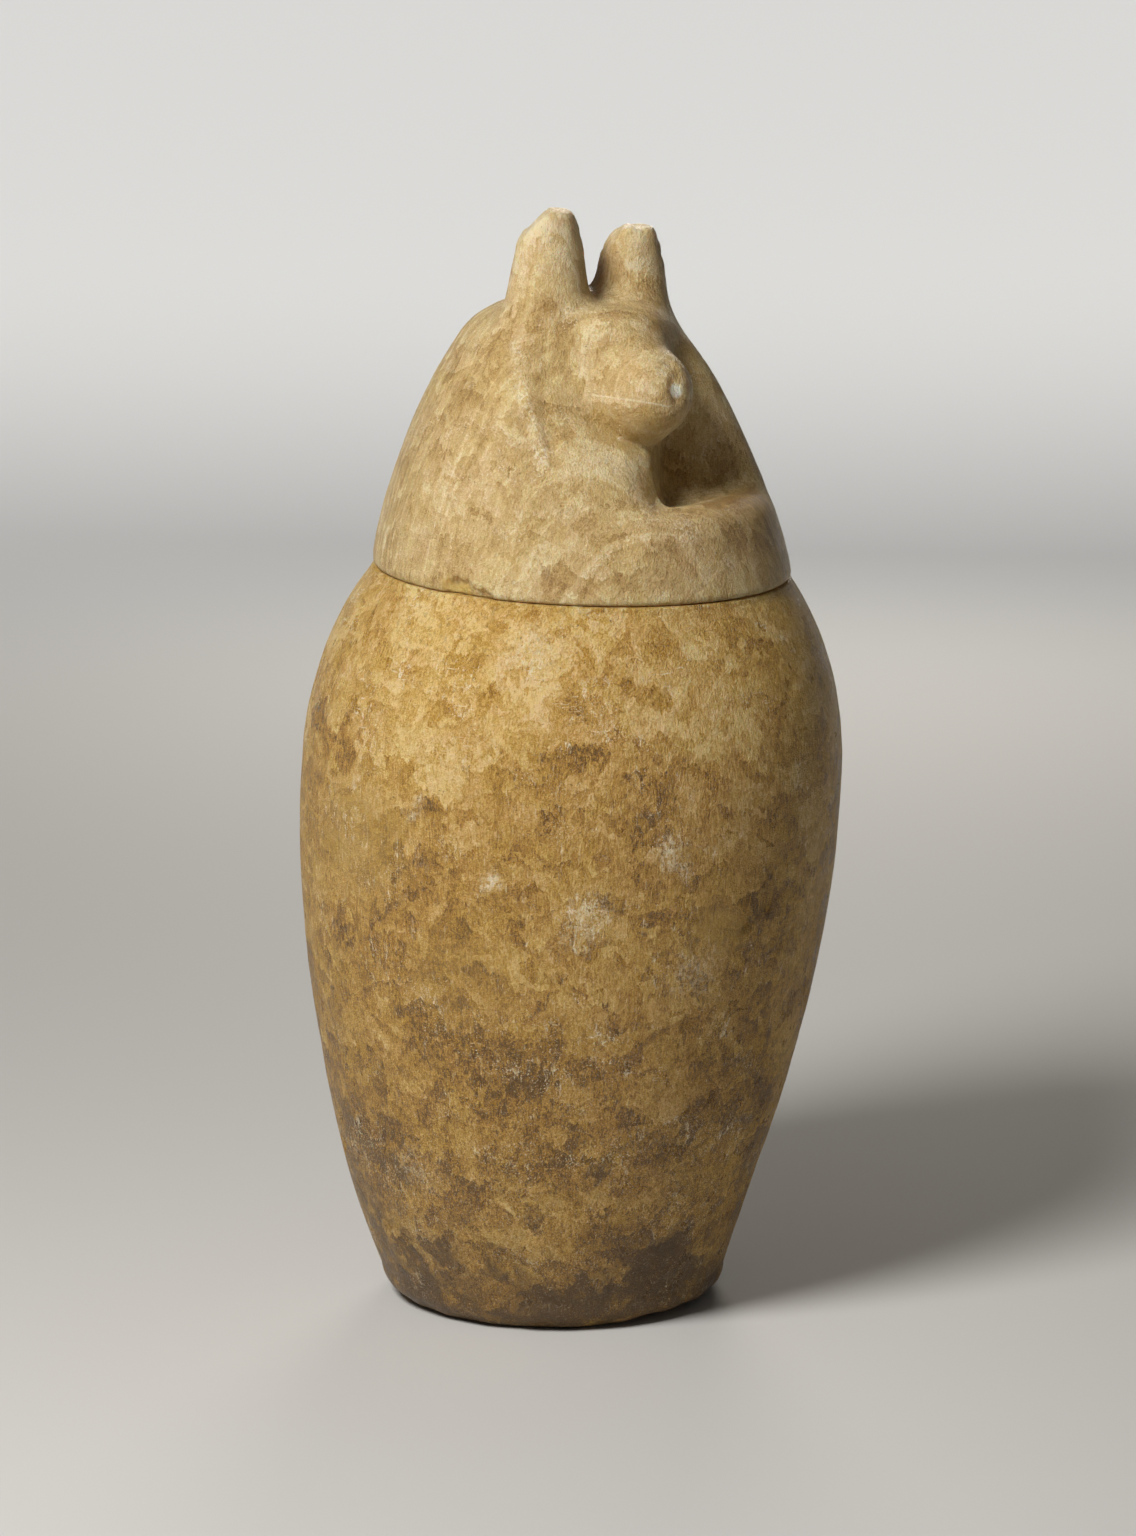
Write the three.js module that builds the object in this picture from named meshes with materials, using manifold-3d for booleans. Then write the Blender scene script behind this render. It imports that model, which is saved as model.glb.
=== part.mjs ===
// A jackal-headed canopic jar of travertine (Egyptian alabaster): a hollow stone jar that leans a little on
// its worn foot, and a solid lid carved as a jackal's head in a plain wig, with a tenon that drops in the mouth.
// Millimetres, +Z up. The origin is the centre of the jar's underside and the jackal faces -Y.
import * as THREE from "three";
import { mergeVertices } from "three/addons/utils/BufferGeometryUtils.js";
import Module from "manifold-3d";

const wasm = await Module();
wasm.setup();

// The jar's outside: an egg-shaped body from a narrow foot, widest above its middle, to a broad shoulder.
const JAR_HEIGHT = 271;
const BELLY_RADIUS = 99;
const BELLY_HEIGHT = 190;
const FOOT_RADIUS = 59.7;
const RIM_RADIUS = 75.5;
const FOOT_CURVE = 1.8; // power of the curve from belly to foot
const SHOULDER_CURVE = 2.5; // power of the curve from belly to rim
const FOOT_EDGE = 11; // radius worn on the foot's edge
const RIM_EDGE = 4; // radius on the rim's outer edge

// The hollow, drilled out through the mouth.
const WALL = 24;
const FLOOR = 32;
const MOUTH_RADIUS = 52;
const MOUTH_DEPTH = 22; // length of the straight bore below the rim
const HOLLOW_EDGE = 16; // radius between the hollow's wall and its floor

// The jar wasn't cut quite true: its axis leans, and its rim slopes a little less.
const LEAN = 2.87; // degrees
const RIM_SLOPE = 1.96; // degrees
const LEAN_SIDE = -37; // direction of the lean, in degrees from +X towards +Y
const FOOT_SET = 3; // how far the foot stands out of line with the body, the same way
const FOOT_SET_HEIGHT = 60; // and the height where that has died out

// A piece broken off the foot's edge, as a sloping flat that rises towards the outside.
const CHIP_SIDE = -79; // direction from the axis, in degrees from +X towards +Y
const CHIP_REACH = 15; // how far it runs in from the foot's edge
const CHIP_RISE = 3.5; // its height at the foot's edge

// The lid's seat on the rim, and its tenon in the mouth.
const SEAT_GAP = 0.3;
const LID_OVERHANG = 0.9; // how far the lid's edge stands outside the rim's
const TENON_HEIGHT = 16;
const TENON_CLEARANCE = 1.5;
const TENON_EDGE = 2;

// The wig: a bell that sets back as it rises, under a low crown.
const BELL_HEIGHT = 110; // where the bell's own curve would close
const BELL_CURVE = 1.28;
const BELL_SETBACK = 0.11; // share of the height
const CROWN_HEIGHT = 100;
const CROWN_ROUND = 16;
const WIG_EDGE = 4; // radius at the bottom edge

// The face's recess between the wig's two front edges, above the wig's lower band. Its floor runs in from the
// band's top edge: down to the jackal's left, up to the jackal's right.
const BAND_UP = 38;
const BAND_AHEAD = 60;
const FLOOR_SLOPE_LEFT = 0.27;
const FLOOR_SLOPE_RIGHT = -0.8;
const FLOOR_TURN = { side: -6, half: 8 }; // where the one slope turns into the other, and half the width of that
const RECESS_AHEAD = 33; // the recess's back wall ahead of the axis, at the band's height
const RECESS_SLOPE = 0.1; // how much that wall falls back as it rises
const RECESS_ROUND = 10;

// Deeper hollows beside the throat, the jackal's left one larger.
const HOLLOW_LEFT = { side: 29, ahead: 58, up: 65, half: [20, 39, 34] };
const HOLLOW_RIGHT = { side: -22, ahead: 42, up: 66, half: [12, 11, 15] };
const HOLLOW_BLEND = 9;

// The head: a blunt cone from the crown to the nose, on a throat that stands on the ledge.
const HEAD_AHEAD = 9;
const HEAD_UP = 77;
const HEAD_RADIUS = 23;
const NOSE_AHEAD = 34.5;
const NOSE_UP = 69.5;
const NOSE_RADIUS = 16.3;
const THROAT_AHEAD = 22.5;
const THROAT_RADIUS = 12;
const THROAT_FOOT = 24; // height of the throat's foot inside the wig's lower band
const HEAD_BLEND = 10;
const THROAT_BLEND = 8;

// The ears: tapered, with their tips broken off along sloping faces.
const EAR_SIDE = 18.6; // centre of the ear's root to the side of the middle
const EAR_AHEAD = -1.2;
const EAR_ROOT_UP = 88;
const EAR_ROOT_HALF = [18.5, 14]; // half width and half depth at the root
const EAR_TIP_HALF = [9.3, 7.5];
const EAR_TIP_UP = 136;
const EAR_BLEND = 7;
// Each ear's share of that size, and its broken face: the height at the ear's middle, then the slopes.
const EAR_RIGHT = { share: 1, up: 128.6, side: 0.6, ahead: -0.1 };
const EAR_LEFT = { share: 0.92, up: 121.6, side: 0.5, ahead: -0.2 };
const BREAK_ROUND = 5;

// A chip out of the lid's lower edge, at the jackal's right.
const CHIP_OUT_SIDE = 74; // degrees from the front towards the jackal's right
const CHIP_OUT_HALF = [6.5, 8, 6.8]; // half its depth, length and height

// Fineness of the two surfaces.
const JAR_SEGMENTS = 48;
const FINE_CELL = 4.4;
const COARSE_CELL = 8.5;

const STONE = { color: 0xc7ab72, roughness: 0.55, metalness: 0 };
const LID_STONE = { color: 0xcdb887, roughness: 0.55, metalness: 0 };

const lidRadius = RIM_RADIUS + LID_OVERHANG;
const tenonRadius = MOUTH_RADIUS - TENON_CLEARANCE;
const rad = THREE.MathUtils.degToRad;
const leanSide = new THREE.Vector3(Math.cos(rad(LEAN_SIDE)), Math.sin(rad(LEAN_SIDE)), 0);
const leanHinge = new THREE.Vector3(0, 0, 1).cross(leanSide);

// Radius of the jar's outside at a height, before its edges are rounded.
function jarRadius(height) {
  if (height < BELLY_HEIGHT) {
    const share = (BELLY_HEIGHT - height) / BELLY_HEIGHT;
    return BELLY_RADIUS - (BELLY_RADIUS - FOOT_RADIUS) * share ** FOOT_CURVE;
  }
  const share = (height - BELLY_HEIGHT) / (JAR_HEIGHT - BELLY_HEIGHT);
  return BELLY_RADIUS - (BELLY_RADIUS - RIM_RADIUS) * share ** SHOULDER_CURVE;
}

// Points of a quarter circle in a profile, from one angle to another.
function arc(radius, height, round, from, to, steps) {
  return Array.from({ length: steps + 1 }, (_, i) => {
    const angle = rad(from + ((to - from) * i) / steps);
    return new THREE.Vector2(radius + round * Math.cos(angle), height + round * Math.sin(angle));
  });
}

// The jar's profile, from the middle of its underside round the outside and down the hollow to its floor.
function jarProfile() {
  const outsideSteps = 15;
  const hollowSteps = 8;
  const points = [0, 0.4, 0.7].map((share) => new THREE.Vector2(FOOT_RADIUS * share, 0));
  const footRadius = jarRadius(FOOT_EDGE) - FOOT_EDGE;
  points.push(...arc(footRadius, FOOT_EDGE, FOOT_EDGE, -90, 0, 4));
  const rimStart = JAR_HEIGHT - RIM_EDGE;
  for (let i = 1; i < outsideSteps; i++) {
    const height = FOOT_EDGE + ((rimStart - FOOT_EDGE) * i) / outsideSteps;
    points.push(new THREE.Vector2(jarRadius(height), height));
  }
  points.push(...arc(jarRadius(rimStart) - RIM_EDGE, rimStart, RIM_EDGE, 0, 90, 2));
  points.push(new THREE.Vector2(MOUTH_RADIUS, JAR_HEIGHT));
  const mouthEnd = JAR_HEIGHT - MOUTH_DEPTH;
  points.push(new THREE.Vector2(MOUTH_RADIUS, mouthEnd));
  const hollowTop = mouthEnd - WALL / 2;
  const cornerHeight = FLOOR + HOLLOW_EDGE;
  for (let i = 0; i <= hollowSteps; i++) {
    const height = hollowTop + ((cornerHeight - hollowTop) * i) / hollowSteps;
    points.push(new THREE.Vector2(jarRadius(height) - WALL, height));
  }
  const cornerRadius = jarRadius(cornerHeight) - WALL - HOLLOW_EDGE;
  points.push(...arc(cornerRadius, cornerHeight, HOLLOW_EDGE, 0, -90, 4).slice(1));
  points.push(new THREE.Vector2(0, FLOOR));
  return points;
}

// Where a point of the upright jar stands once the jar leans: each level moves sideways and tilts with its height.
function leaning(point) {
  const height = point.z;
  const slope = (rad(RIM_SLOPE) * height) / JAR_HEIGHT;
  point.z = 0;
  point.applyAxisAngle(leanHinge, slope);
  const footSet = FOOT_SET * Math.max(0, 1 - height / FOOT_SET_HEIGHT) ** 2;
  point.addScaledVector(leanSide, height * Math.tan(rad(LEAN)) + footSet - FOOT_SET);
  point.z += height;
  return point;
}

// Lifts what lies under the chip's sloping face, which rises from inside the foot's edge to the outside.
function chipped(point) {
  const side = rad(CHIP_SIDE);
  const out = point.x * Math.cos(side) + point.y * Math.sin(side);
  const across = point.y * Math.cos(side) - point.x * Math.sin(side);
  const fade = Math.max(0, 1 - (across / FOOT_RADIUS) ** 2);
  const lift = ((out - (FOOT_RADIUS - CHIP_REACH)) / CHIP_REACH) * CHIP_RISE * fade;
  point.z = Math.max(point.z, Math.min(lift, CHIP_RISE));
  return point;
}

// Keeps positions alone, shared between faces, so that the surface is closed.
function closedSurface(geometry) {
  geometry.deleteAttribute("normal");
  geometry.deleteAttribute("uv");
  return mergeVertices(geometry, 1e-4);
}

function jarGeometry() {
  const geometry = closedSurface(new THREE.LatheGeometry(jarProfile(), JAR_SEGMENTS));
  geometry.rotateX(Math.PI / 2);
  const position = geometry.getAttribute("position");
  const point = new THREE.Vector3();
  for (let i = 0; i < position.count; i++) {
    point.fromBufferAttribute(position, i);
    leaning(chipped(point));
    position.setXYZ(i, point.x, point.y, point.z);
  }
  return geometry;
}

// Smooth joins of distances: the smaller of two with a fillet, and the larger.
function blend(a, b, width) {
  const near = Math.max(width - Math.abs(a - b), 0) / width;
  return Math.min(a, b) - (near * near * width) / 4;
}

function cut(a, b, width) {
  return -blend(-a, -b, width);
}

function lerp(from, to, share) {
  return from + (to - from) * Math.min(Math.max(share, 0), 1);
}

// Distances to the lid's forms, in the lid's own frame: x to the jackal's left, ahead to its front, z up.
function bellRadius(z) {
  return lidRadius * Math.sqrt(1 - Math.min(Math.max(z / BELL_HEIGHT, 0), 0.985) ** BELL_CURVE);
}

function bell(x, ahead, z) {
  const radius = bellRadius(z);
  const share = Math.min(Math.max(z / BELL_HEIGHT, 0), 0.985);
  const slope = (lidRadius ** 2 * BELL_CURVE * share ** (BELL_CURVE - 1)) / (2 * BELL_HEIGHT * radius);
  const side = (Math.hypot(x, ahead + BELL_SETBACK * z) - radius) / Math.hypot(1, slope);
  return cut(side, z - CROWN_HEIGHT, CROWN_ROUND);
}

// The space cut away in front of the wall and above the floor.
function recess(x, ahead, z) {
  const wall = RECESS_AHEAD - RECESS_SLOPE * (z - BAND_UP) - ahead;
  const slope = lerp(FLOOR_SLOPE_RIGHT, FLOOR_SLOPE_LEFT, (x - FLOOR_TURN.side) / (2 * FLOOR_TURN.half) + 0.5);
  const floor = BAND_UP + slope * (ahead - BAND_AHEAD) - z;
  return cut(wall, floor / Math.hypot(1, slope), RECESS_ROUND);
}

function ellipsoid(x, y, z, [a, b, c]) {
  const scaled = Math.hypot(x / a, y / b, z / c);
  return (scaled - 1) * Math.min(a, b, c);
}

// A cone with a ball at each end, between two points in the plane through the middle.
function roundCone(x, ahead, z, from, to) {
  const along = new THREE.Vector2(to.ahead - from.ahead, to.up - from.up);
  const length = along.length();
  along.divideScalar(length);
  const drop = (from.radius - to.radius) / length;
  const rise = Math.sqrt(1 - drop * drop);
  const dAhead = ahead - from.ahead;
  const dUp = z - from.up;
  const run = dAhead * along.x + dUp * along.y;
  const off = Math.hypot(x, dUp * along.x - dAhead * along.y);
  const place = run * rise - off * drop;
  if (place < 0) return Math.hypot(run, off) - from.radius;
  if (place > length * rise) return Math.hypot(run - length, off) - to.radius;
  return off * rise + run * drop - from.radius;
}

function ear(x, ahead, z, side, { share, up, ...broken }) {
  const rise = (z - EAR_ROOT_UP) / (EAR_TIP_UP - EAR_ROOT_UP);
  const halfWidth = lerp(EAR_ROOT_HALF[0], EAR_TIP_HALF[0], rise) * share;
  const halfDepth = lerp(EAR_ROOT_HALF[1], EAR_TIP_HALF[1], rise) * share;
  const across = x - side * EAR_SIDE;
  const forward = ahead - EAR_AHEAD;
  const shell = (Math.hypot(across / halfWidth, forward / halfDepth) - 1) * Math.min(halfWidth, halfDepth);
  const top = z - up - broken.side * across - broken.ahead * forward;
  const root = EAR_ROOT_UP - 12 - z;
  return Math.max(cut(shell, top / Math.hypot(1, broken.side, broken.ahead), BREAK_ROUND), root);
}

function lidDistance(x, y, z) {
  const ahead = -y;
  const head = { ahead: HEAD_AHEAD, up: HEAD_UP, radius: HEAD_RADIUS };
  const nose = { ahead: NOSE_AHEAD, up: NOSE_UP, radius: NOSE_RADIUS };
  const throatTop = { ahead: THROAT_AHEAD, up: HEAD_UP - HEAD_RADIUS / 2, radius: THROAT_RADIUS };
  const throatFoot = { ahead: THROAT_AHEAD, up: THROAT_FOOT, radius: THROAT_RADIUS * 1.1 };
  let stone = cut(bell(x, ahead, z), -recess(x, ahead, z), HOLLOW_BLEND);
  for (const { side, ahead: front, up, half } of [HOLLOW_LEFT, HOLLOW_RIGHT])
    stone = cut(stone, -ellipsoid(x - side, ahead - front, z - up, half), HOLLOW_BLEND);
  stone = blend(stone, roundCone(x, ahead, z, throatTop, throatFoot), THROAT_BLEND);
  stone = blend(stone, roundCone(x, ahead, z, head, nose), HEAD_BLEND);
  stone = blend(stone, ear(x, ahead, z, -1, EAR_RIGHT), EAR_BLEND);
  return blend(stone, ear(x, ahead, z, 1, EAR_LEFT), EAR_BLEND);
}

// Moves a point onto the surface where the distance is zero, by a few steps along its slope.
function settle(point, distance) {
  const step = 0.01;
  for (let i = 0; i < 6; i++) {
    const here = distance(point.x, point.y, point.z);
    const slope = new THREE.Vector3(
      distance(point.x + step, point.y, point.z) - here,
      distance(point.x, point.y + step, point.z) - here,
      distance(point.x, point.y, point.z + step) - here,
    ).divideScalar(step);
    point.addScaledVector(slope, -here / Math.max(slope.lengthSq(), 0.2));
  }
  return point;
}

// Places of a grid's lines along one axis: close together inside the fine stretch, further apart outside it.
function gridLines(low, high, fineLow, fineHigh) {
  const even = (from, to, step) => {
    const count = Math.max(1, Math.round((to - from) / step));
    return Array.from({ length: count }, (_, i) => from + ((to - from) * i) / count);
  };
  return [...even(low, fineLow, COARSE_CELL), ...even(fineLow, fineHigh, FINE_CELL), ...even(fineHigh, high, COARSE_CELL), high];
}

// A closed surface around where the distance is negative: one point in each cell that the surface crosses,
// and one four-sided face across each grid edge that it crosses.
function surfaceOf(distance, [xs, ys, zs]) {
  const [nx, ny, nz] = [xs.length, ys.length, zs.length];
  const index = (i, j, k) => (k * ny + j) * nx + i;
  const value = new Float64Array(nx * ny * nz);
  for (let k = 0; k < nz; k++)
    for (let j = 0; j < ny; j++)
      for (let i = 0; i < nx; i++)
        value[index(i, j, k)] = distance(xs[i], ys[j], zs[k]);

  const corners = [0, 1, 2, 3, 4, 5, 6, 7].map((n) => [n & 1, (n >> 1) & 1, (n >> 2) & 1]);
  const pointIn = new Int32Array(nx * ny * nz).fill(-1);
  const points = [];
  for (let k = 0; k < nz - 1; k++)
    for (let j = 0; j < ny - 1; j++)
      for (let i = 0; i < nx - 1; i++) {
        const at = corners.map(([a, b, c]) => value[index(i + a, j + b, k + c)]);
        const inside = at.filter((v) => v < 0).length;
        if (inside === 0 || inside === 8) continue;
        const sum = new THREE.Vector3();
        let crossings = 0;
        for (let a = 0; a < 8; a++)
          for (const bit of [1, 2, 4]) {
            const b = a | bit;
            if (b === a || at[a] < 0 === at[b] < 0) continue;
            const from = new THREE.Vector3(...corners[a]);
            sum.add(from.lerp(new THREE.Vector3(...corners[b]), at[a] / (at[a] - at[b])));
            crossings++;
          }
        const low = new THREE.Vector3(xs[i], ys[j], zs[k]);
        const size = new THREE.Vector3(xs[i + 1], ys[j + 1], zs[k + 1]).sub(low);
        const start = sum.divideScalar(crossings).multiply(size).add(low);
        const point = settle(start.clone(), distance);
        const kept = point.distanceTo(start) > size.length() / 4 ? start : point;
        pointIn[index(i, j, k)] = points.length / 3;
        points.push(kept.x, kept.y, kept.z);
      }

  const faces = [];
  const steps = [
    [1, 0, 0],
    [0, 1, 0],
    [0, 0, 1],
  ];
  for (let k = 1; k < nz - 1; k++)
    for (let j = 1; j < ny - 1; j++)
      for (let i = 1; i < nx - 1; i++)
        for (let axis = 0; axis < 3; axis++) {
          const [a, b, c] = steps[axis];
          const near = value[index(i, j, k)] < 0;
          if (near === value[index(i + a, j + b, k + c)] < 0) continue;
          const [u, v] = [steps[(axis + 1) % 3], steps[(axis + 2) % 3]];
          const cellAt = (m, n) => pointIn[index(i - m * u[0] - n * v[0], j - m * u[1] - n * v[1], k - m * u[2] - n * v[2])];
          const ring = [cellAt(1, 1), cellAt(0, 1), cellAt(0, 0), cellAt(1, 0)];
          if (!near) ring.reverse();
          faces.push(ring[0], ring[1], ring[2], ring[0], ring[2], ring[3]);
        }
  return { vertProperties: new Float32Array(points), triVerts: new Uint32Array(faces) };
}

function solidOf(geometry) {
  const closed = closedSurface(geometry);
  return new wasm.Manifold(
    new wasm.Mesh({
      numProp: 3,
      vertProperties: closed.getAttribute("position").array,
      triVerts: new Uint32Array(closed.index.array),
    }),
  );
}

// The tenon, from its rounded lower end up into the lid's stone.
function tenonGeometry() {
  const profile = [
    new THREE.Vector2(0, -TENON_HEIGHT),
    ...arc(tenonRadius - TENON_EDGE, TENON_EDGE - TENON_HEIGHT, TENON_EDGE, -90, 0, 2),
    new THREE.Vector2(tenonRadius, TENON_HEIGHT / 2),
    new THREE.Vector2(0, TENON_HEIGHT / 2),
  ];
  return new THREE.LatheGeometry(profile, JAR_SEGMENTS).rotateX(Math.PI / 2);
}

// What the carved stone is trimmed to: flat underneath, with a rounded edge that runs into the bell's side.
function trimGeometry() {
  const edge = arc(bellRadius(WIG_EDGE) - WIG_EDGE, WIG_EDGE, WIG_EDGE, -90, 0, 4);
  const above = new THREE.Vector2(lidRadius + 3 * WIG_EDGE, 4 * WIG_EDGE);
  const top = 2 * BELL_HEIGHT;
  const profile = [new THREE.Vector2(0, 0), ...edge, above, new THREE.Vector2(above.x, top), new THREE.Vector2(0, top)];
  return new THREE.LatheGeometry(profile, JAR_SEGMENTS).rotateX(Math.PI / 2);
}

function chipOutGeometry() {
  return new THREE.IcosahedronGeometry(1, 2)
    .scale(...CHIP_OUT_HALF)
    .translate(lidRadius, 0, 0)
    .rotateZ(rad(-90 - CHIP_OUT_SIDE));
}

function lidGeometry() {
  const reach = lidRadius + 2 * COARSE_CELL;
  const grid = [
    gridLines(-reach, reach, -1.6 * HEAD_RADIUS, 1.6 * HEAD_RADIUS),
    gridLines(-reach, reach, -NOSE_AHEAD - 1.5 * NOSE_RADIUS, EAR_TIP_HALF[1]),
    gridLines(-3 * COARSE_CELL, EAR_TIP_UP + COARSE_CELL, BAND_UP, EAR_TIP_UP),
  ];
  const deepened = (x, y, z) => Math.max(lidDistance(x, y, z), -z - COARSE_CELL);
  const carved = new wasm.Manifold(new wasm.Mesh({ numProp: 3, ...surfaceOf(deepened, grid) }));
  const { vertProperties, triVerts } = carved
    .intersect(solidOf(trimGeometry()))
    .subtract(solidOf(chipOutGeometry()))
    .add(solidOf(tenonGeometry()))
    .getMesh();
  return new THREE.BufferGeometry()
    .setAttribute("position", new THREE.BufferAttribute(new Float32Array(vertProperties), 3))
    .setIndex(new THREE.BufferAttribute(new Uint32Array(triVerts), 1));
}

function named(name, geometry, finish) {
  const mesh = new THREE.Mesh(geometry, new THREE.MeshStandardMaterial(finish));
  mesh.name = name;
  return mesh;
}

const jar = named("jar", jarGeometry(), STONE);

const lid = named("lid", lidGeometry(), LID_STONE);
lid.position.copy(leaning(new THREE.Vector3(0, 0, JAR_HEIGHT)));
lid.setRotationFromAxisAngle(leanHinge, rad(RIM_SLOPE));
lid.translateZ(SEAT_GAP);

const canopicJar = new THREE.Group();
canopicJar.add(jar, lid);

export default canopicJar;
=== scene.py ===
import math

import bpy
import numpy as np
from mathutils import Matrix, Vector


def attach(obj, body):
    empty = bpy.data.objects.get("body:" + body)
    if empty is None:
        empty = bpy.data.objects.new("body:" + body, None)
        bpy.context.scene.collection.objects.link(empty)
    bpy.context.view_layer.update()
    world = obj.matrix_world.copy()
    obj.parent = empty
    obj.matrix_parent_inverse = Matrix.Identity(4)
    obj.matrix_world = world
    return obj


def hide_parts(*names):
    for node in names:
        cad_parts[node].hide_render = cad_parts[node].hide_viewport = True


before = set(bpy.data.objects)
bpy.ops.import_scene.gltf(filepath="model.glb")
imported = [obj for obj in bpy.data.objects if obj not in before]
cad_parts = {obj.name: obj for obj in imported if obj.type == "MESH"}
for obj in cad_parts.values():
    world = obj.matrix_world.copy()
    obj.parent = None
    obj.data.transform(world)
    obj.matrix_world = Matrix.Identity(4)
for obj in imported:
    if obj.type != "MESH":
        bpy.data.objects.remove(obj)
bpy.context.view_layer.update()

print("canopic jar: frame loaded")


# shapes, worked out in millimetres in the frame of the jar: z up, the jackal facing -y

jar = {
    "height": 271.0,
    "bellyRadius": 99.0,
    "bellyHeight": 190.0,
    "footRadius": 59.7,
    "rimRadius": 75.5,
    "footCurve": 1.8,
    "shoulderCurve": 2.5,
    "footEdge": 11.0,  # radius worn on the foot's edge
    "rimEdge": 1.5,
    "wall": 24.0,
    "floor": 32.0,
    "mouthRadius": 52.0,
    "mouthDepth": 22.0,
    "hollowEdge": 16.0,
    "lean": 2.87,  # degrees
    "rimSlope": 1.96,
    "leanSide": -37.0,  # from +x towards +y
    "footSet": 3.0,  # the foot stands out of line with the body by this much
    "footSetHeight": 60.0,
    "chipSide": -79.0,  # where the foot's edge is broken
    "chipReach": 15.0,
    "chipRise": 3.5,
    "columns": 400,
    "rowStep": 1.6,  # spacing of the mesh up the outside
}


def sideways(degrees):
    turn = math.radians(degrees)
    return np.array([math.cos(turn), math.sin(turn), 0.0])


def jarRadius(height):
    belly, middle = jar["bellyRadius"], jar["bellyHeight"]
    low = np.clip((middle - height) / middle, 0, None) ** jar["footCurve"]
    high = np.clip((height - middle) / (jar["height"] - middle), 0, None) ** jar["shoulderCurve"]
    return belly - (belly - jar["footRadius"]) * low - (belly - jar["rimRadius"]) * high


def leaning(points):
    # where points of the upright jar stand once it leans: each level shifts and tilts with its height
    side = sideways(jar["leanSide"])
    height = points[:, 2:3]
    slope = math.radians(jar["rimSlope"]) * height / jar["height"]
    out = points @ side
    across = points - out[:, None] * side
    across[:, 2] = 0
    flat = out[:, None] * (side * np.cos(slope) - np.array([0, 0, 1.0]) * np.sin(slope)) + across
    footSet = jar["footSet"] * np.clip(1 - height / jar["footSetHeight"], 0, None) ** 2
    shift = height * math.tan(math.radians(jar["lean"])) + footSet - jar["footSet"]
    return flat + side * shift + np.array([0, 0, 1.0]) * height


def chipped(points):
    # lifts what lies under the sloping face where the foot's edge is broken
    side = sideways(jar["chipSide"])
    out = points @ side
    across = points[:, 1] * side[0] - points[:, 0] * side[1]
    fade = np.clip(1 - (across / jar["footRadius"]) ** 2, 0, None)
    start = jar["footRadius"] - jar["chipReach"]
    lift = (out - start) / jar["chipReach"] * jar["chipRise"] * fade
    points[:, 2] = np.maximum(points[:, 2], np.minimum(lift, jar["chipRise"]))
    return points


# a lattice of random numbers, read smoothly, gives unevenness of any size
lattice = np.random.default_rng(4).uniform(-1, 1, (64, 64, 64))


def uneven(points, size, offset=0.0):
    p = points / size + offset
    cell = np.floor(p).astype(int)
    share = p - cell
    share = share * share * (3 - 2 * share)
    value = np.zeros(len(points))
    for corner in range(8):
        bits = np.array([corner & 1, corner >> 1 & 1, corner >> 2 & 1])
        weight = np.prod(np.where(bits, share, 1 - share), axis=1)
        i, j, k = ((cell + bits) % 64).T
        value += weight * lattice[i, j, k]
    return value


def arc(radius, height, bend, start, end, steps):
    turns = np.radians(np.linspace(start, end, steps + 1))
    return [(radius + bend * math.cos(t), height + bend * math.sin(t)) for t in turns]


def jarProfile():
    footEdge, rimEdge, wall, corner = jar["footEdge"], jar["rimEdge"], jar["wall"], jar["hollowEdge"]
    footRadius = float(jarRadius(footEdge)) - footEdge
    rimStart = jar["height"] - rimEdge
    outside = [(r, 0.0) for r in np.linspace(0.5, footRadius, 22)[:-1]]
    outside += arc(footRadius, footEdge, footEdge, -90, 0, 12)
    rows = int((rimStart - footEdge) / jar["rowStep"])
    outside += [(float(jarRadius(z)), z) for z in np.linspace(footEdge, rimStart, rows + 1)[1:-1]]
    outside += arc(float(jarRadius(rimStart)) - rimEdge, rimStart, rimEdge, 0, 90, 5)
    outside += [(r, jar["height"]) for r in np.linspace(70, jar["mouthRadius"], 6)[:-1]]
    mouthEnd = jar["height"] - jar["mouthDepth"]
    top, bottom = mouthEnd - wall / 2, jar["floor"] + corner
    inside = [(jar["mouthRadius"], z) for z in (jar["height"], jar["height"] - 8, mouthEnd)]
    inside += [(float(jarRadius(z)) - wall, z) for z in np.linspace(top, bottom, 16)]
    inside += arc(float(jarRadius(bottom)) - wall - corner, bottom, corner, 0, -90, 6)[1:]
    inside += [(r, jar["floor"]) for r in (24.0, 8.0)]
    return np.array(outside), np.array(inside)


def turned(profile, columns):
    # rings of points round the axis, with a single point closing each end
    turns = np.linspace(0, 2 * math.pi, columns, endpoint=False)
    rings = [np.stack([r * np.cos(turns), r * np.sin(turns), np.full(columns, z)], 1) for r, z in profile]
    points = np.concatenate([[[0, 0, profile[0][1]]], *rings, [[0, 0, profile[-1][1]]]])
    count = len(profile)
    ring = np.arange(columns)
    nextRing = (ring + 1) % columns
    faces = []
    for row in range(count - 1):
        low, high = 1 + row * columns, 1 + (row + 1) * columns
        faces.append(np.stack([low + ring, low + nextRing, high + nextRing, high + ring], 1))
    last = len(points) - 1
    top = 1 + (count - 1) * columns
    lowFan = np.stack([1 + nextRing, 1 + ring, 0 * ring], 1)
    highFan = np.stack([top + ring, top + nextRing, 0 * ring + last], 1)
    return points, np.concatenate(faces), np.concatenate([lowFan, highFan])


def pointNormals(points, faces, fans):
    normals = np.zeros_like(points)
    for corners in (faces[:, [0, 1, 2]], faces[:, [0, 2, 3]], fans):
        a, b, c = (points[corners[:, i]] for i in range(3))
        n = np.cross(b - a, c - a)
        for i in range(3):
            np.add.at(normals, corners[:, i], n)
    return normals / np.maximum(np.linalg.norm(normals, axis=1, keepdims=True), 1e-9)


def meshObject(name, points, faces, fans):
    mesh = bpy.data.meshes.new(name)
    mesh.from_pydata((points / 1000).tolist(), [], faces.tolist() + fans.tolist())
    mesh.validate()
    mesh.shade_smooth()
    piece = bpy.data.objects.new(name, mesh)
    bpy.context.scene.collection.objects.link(piece)
    return piece


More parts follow.
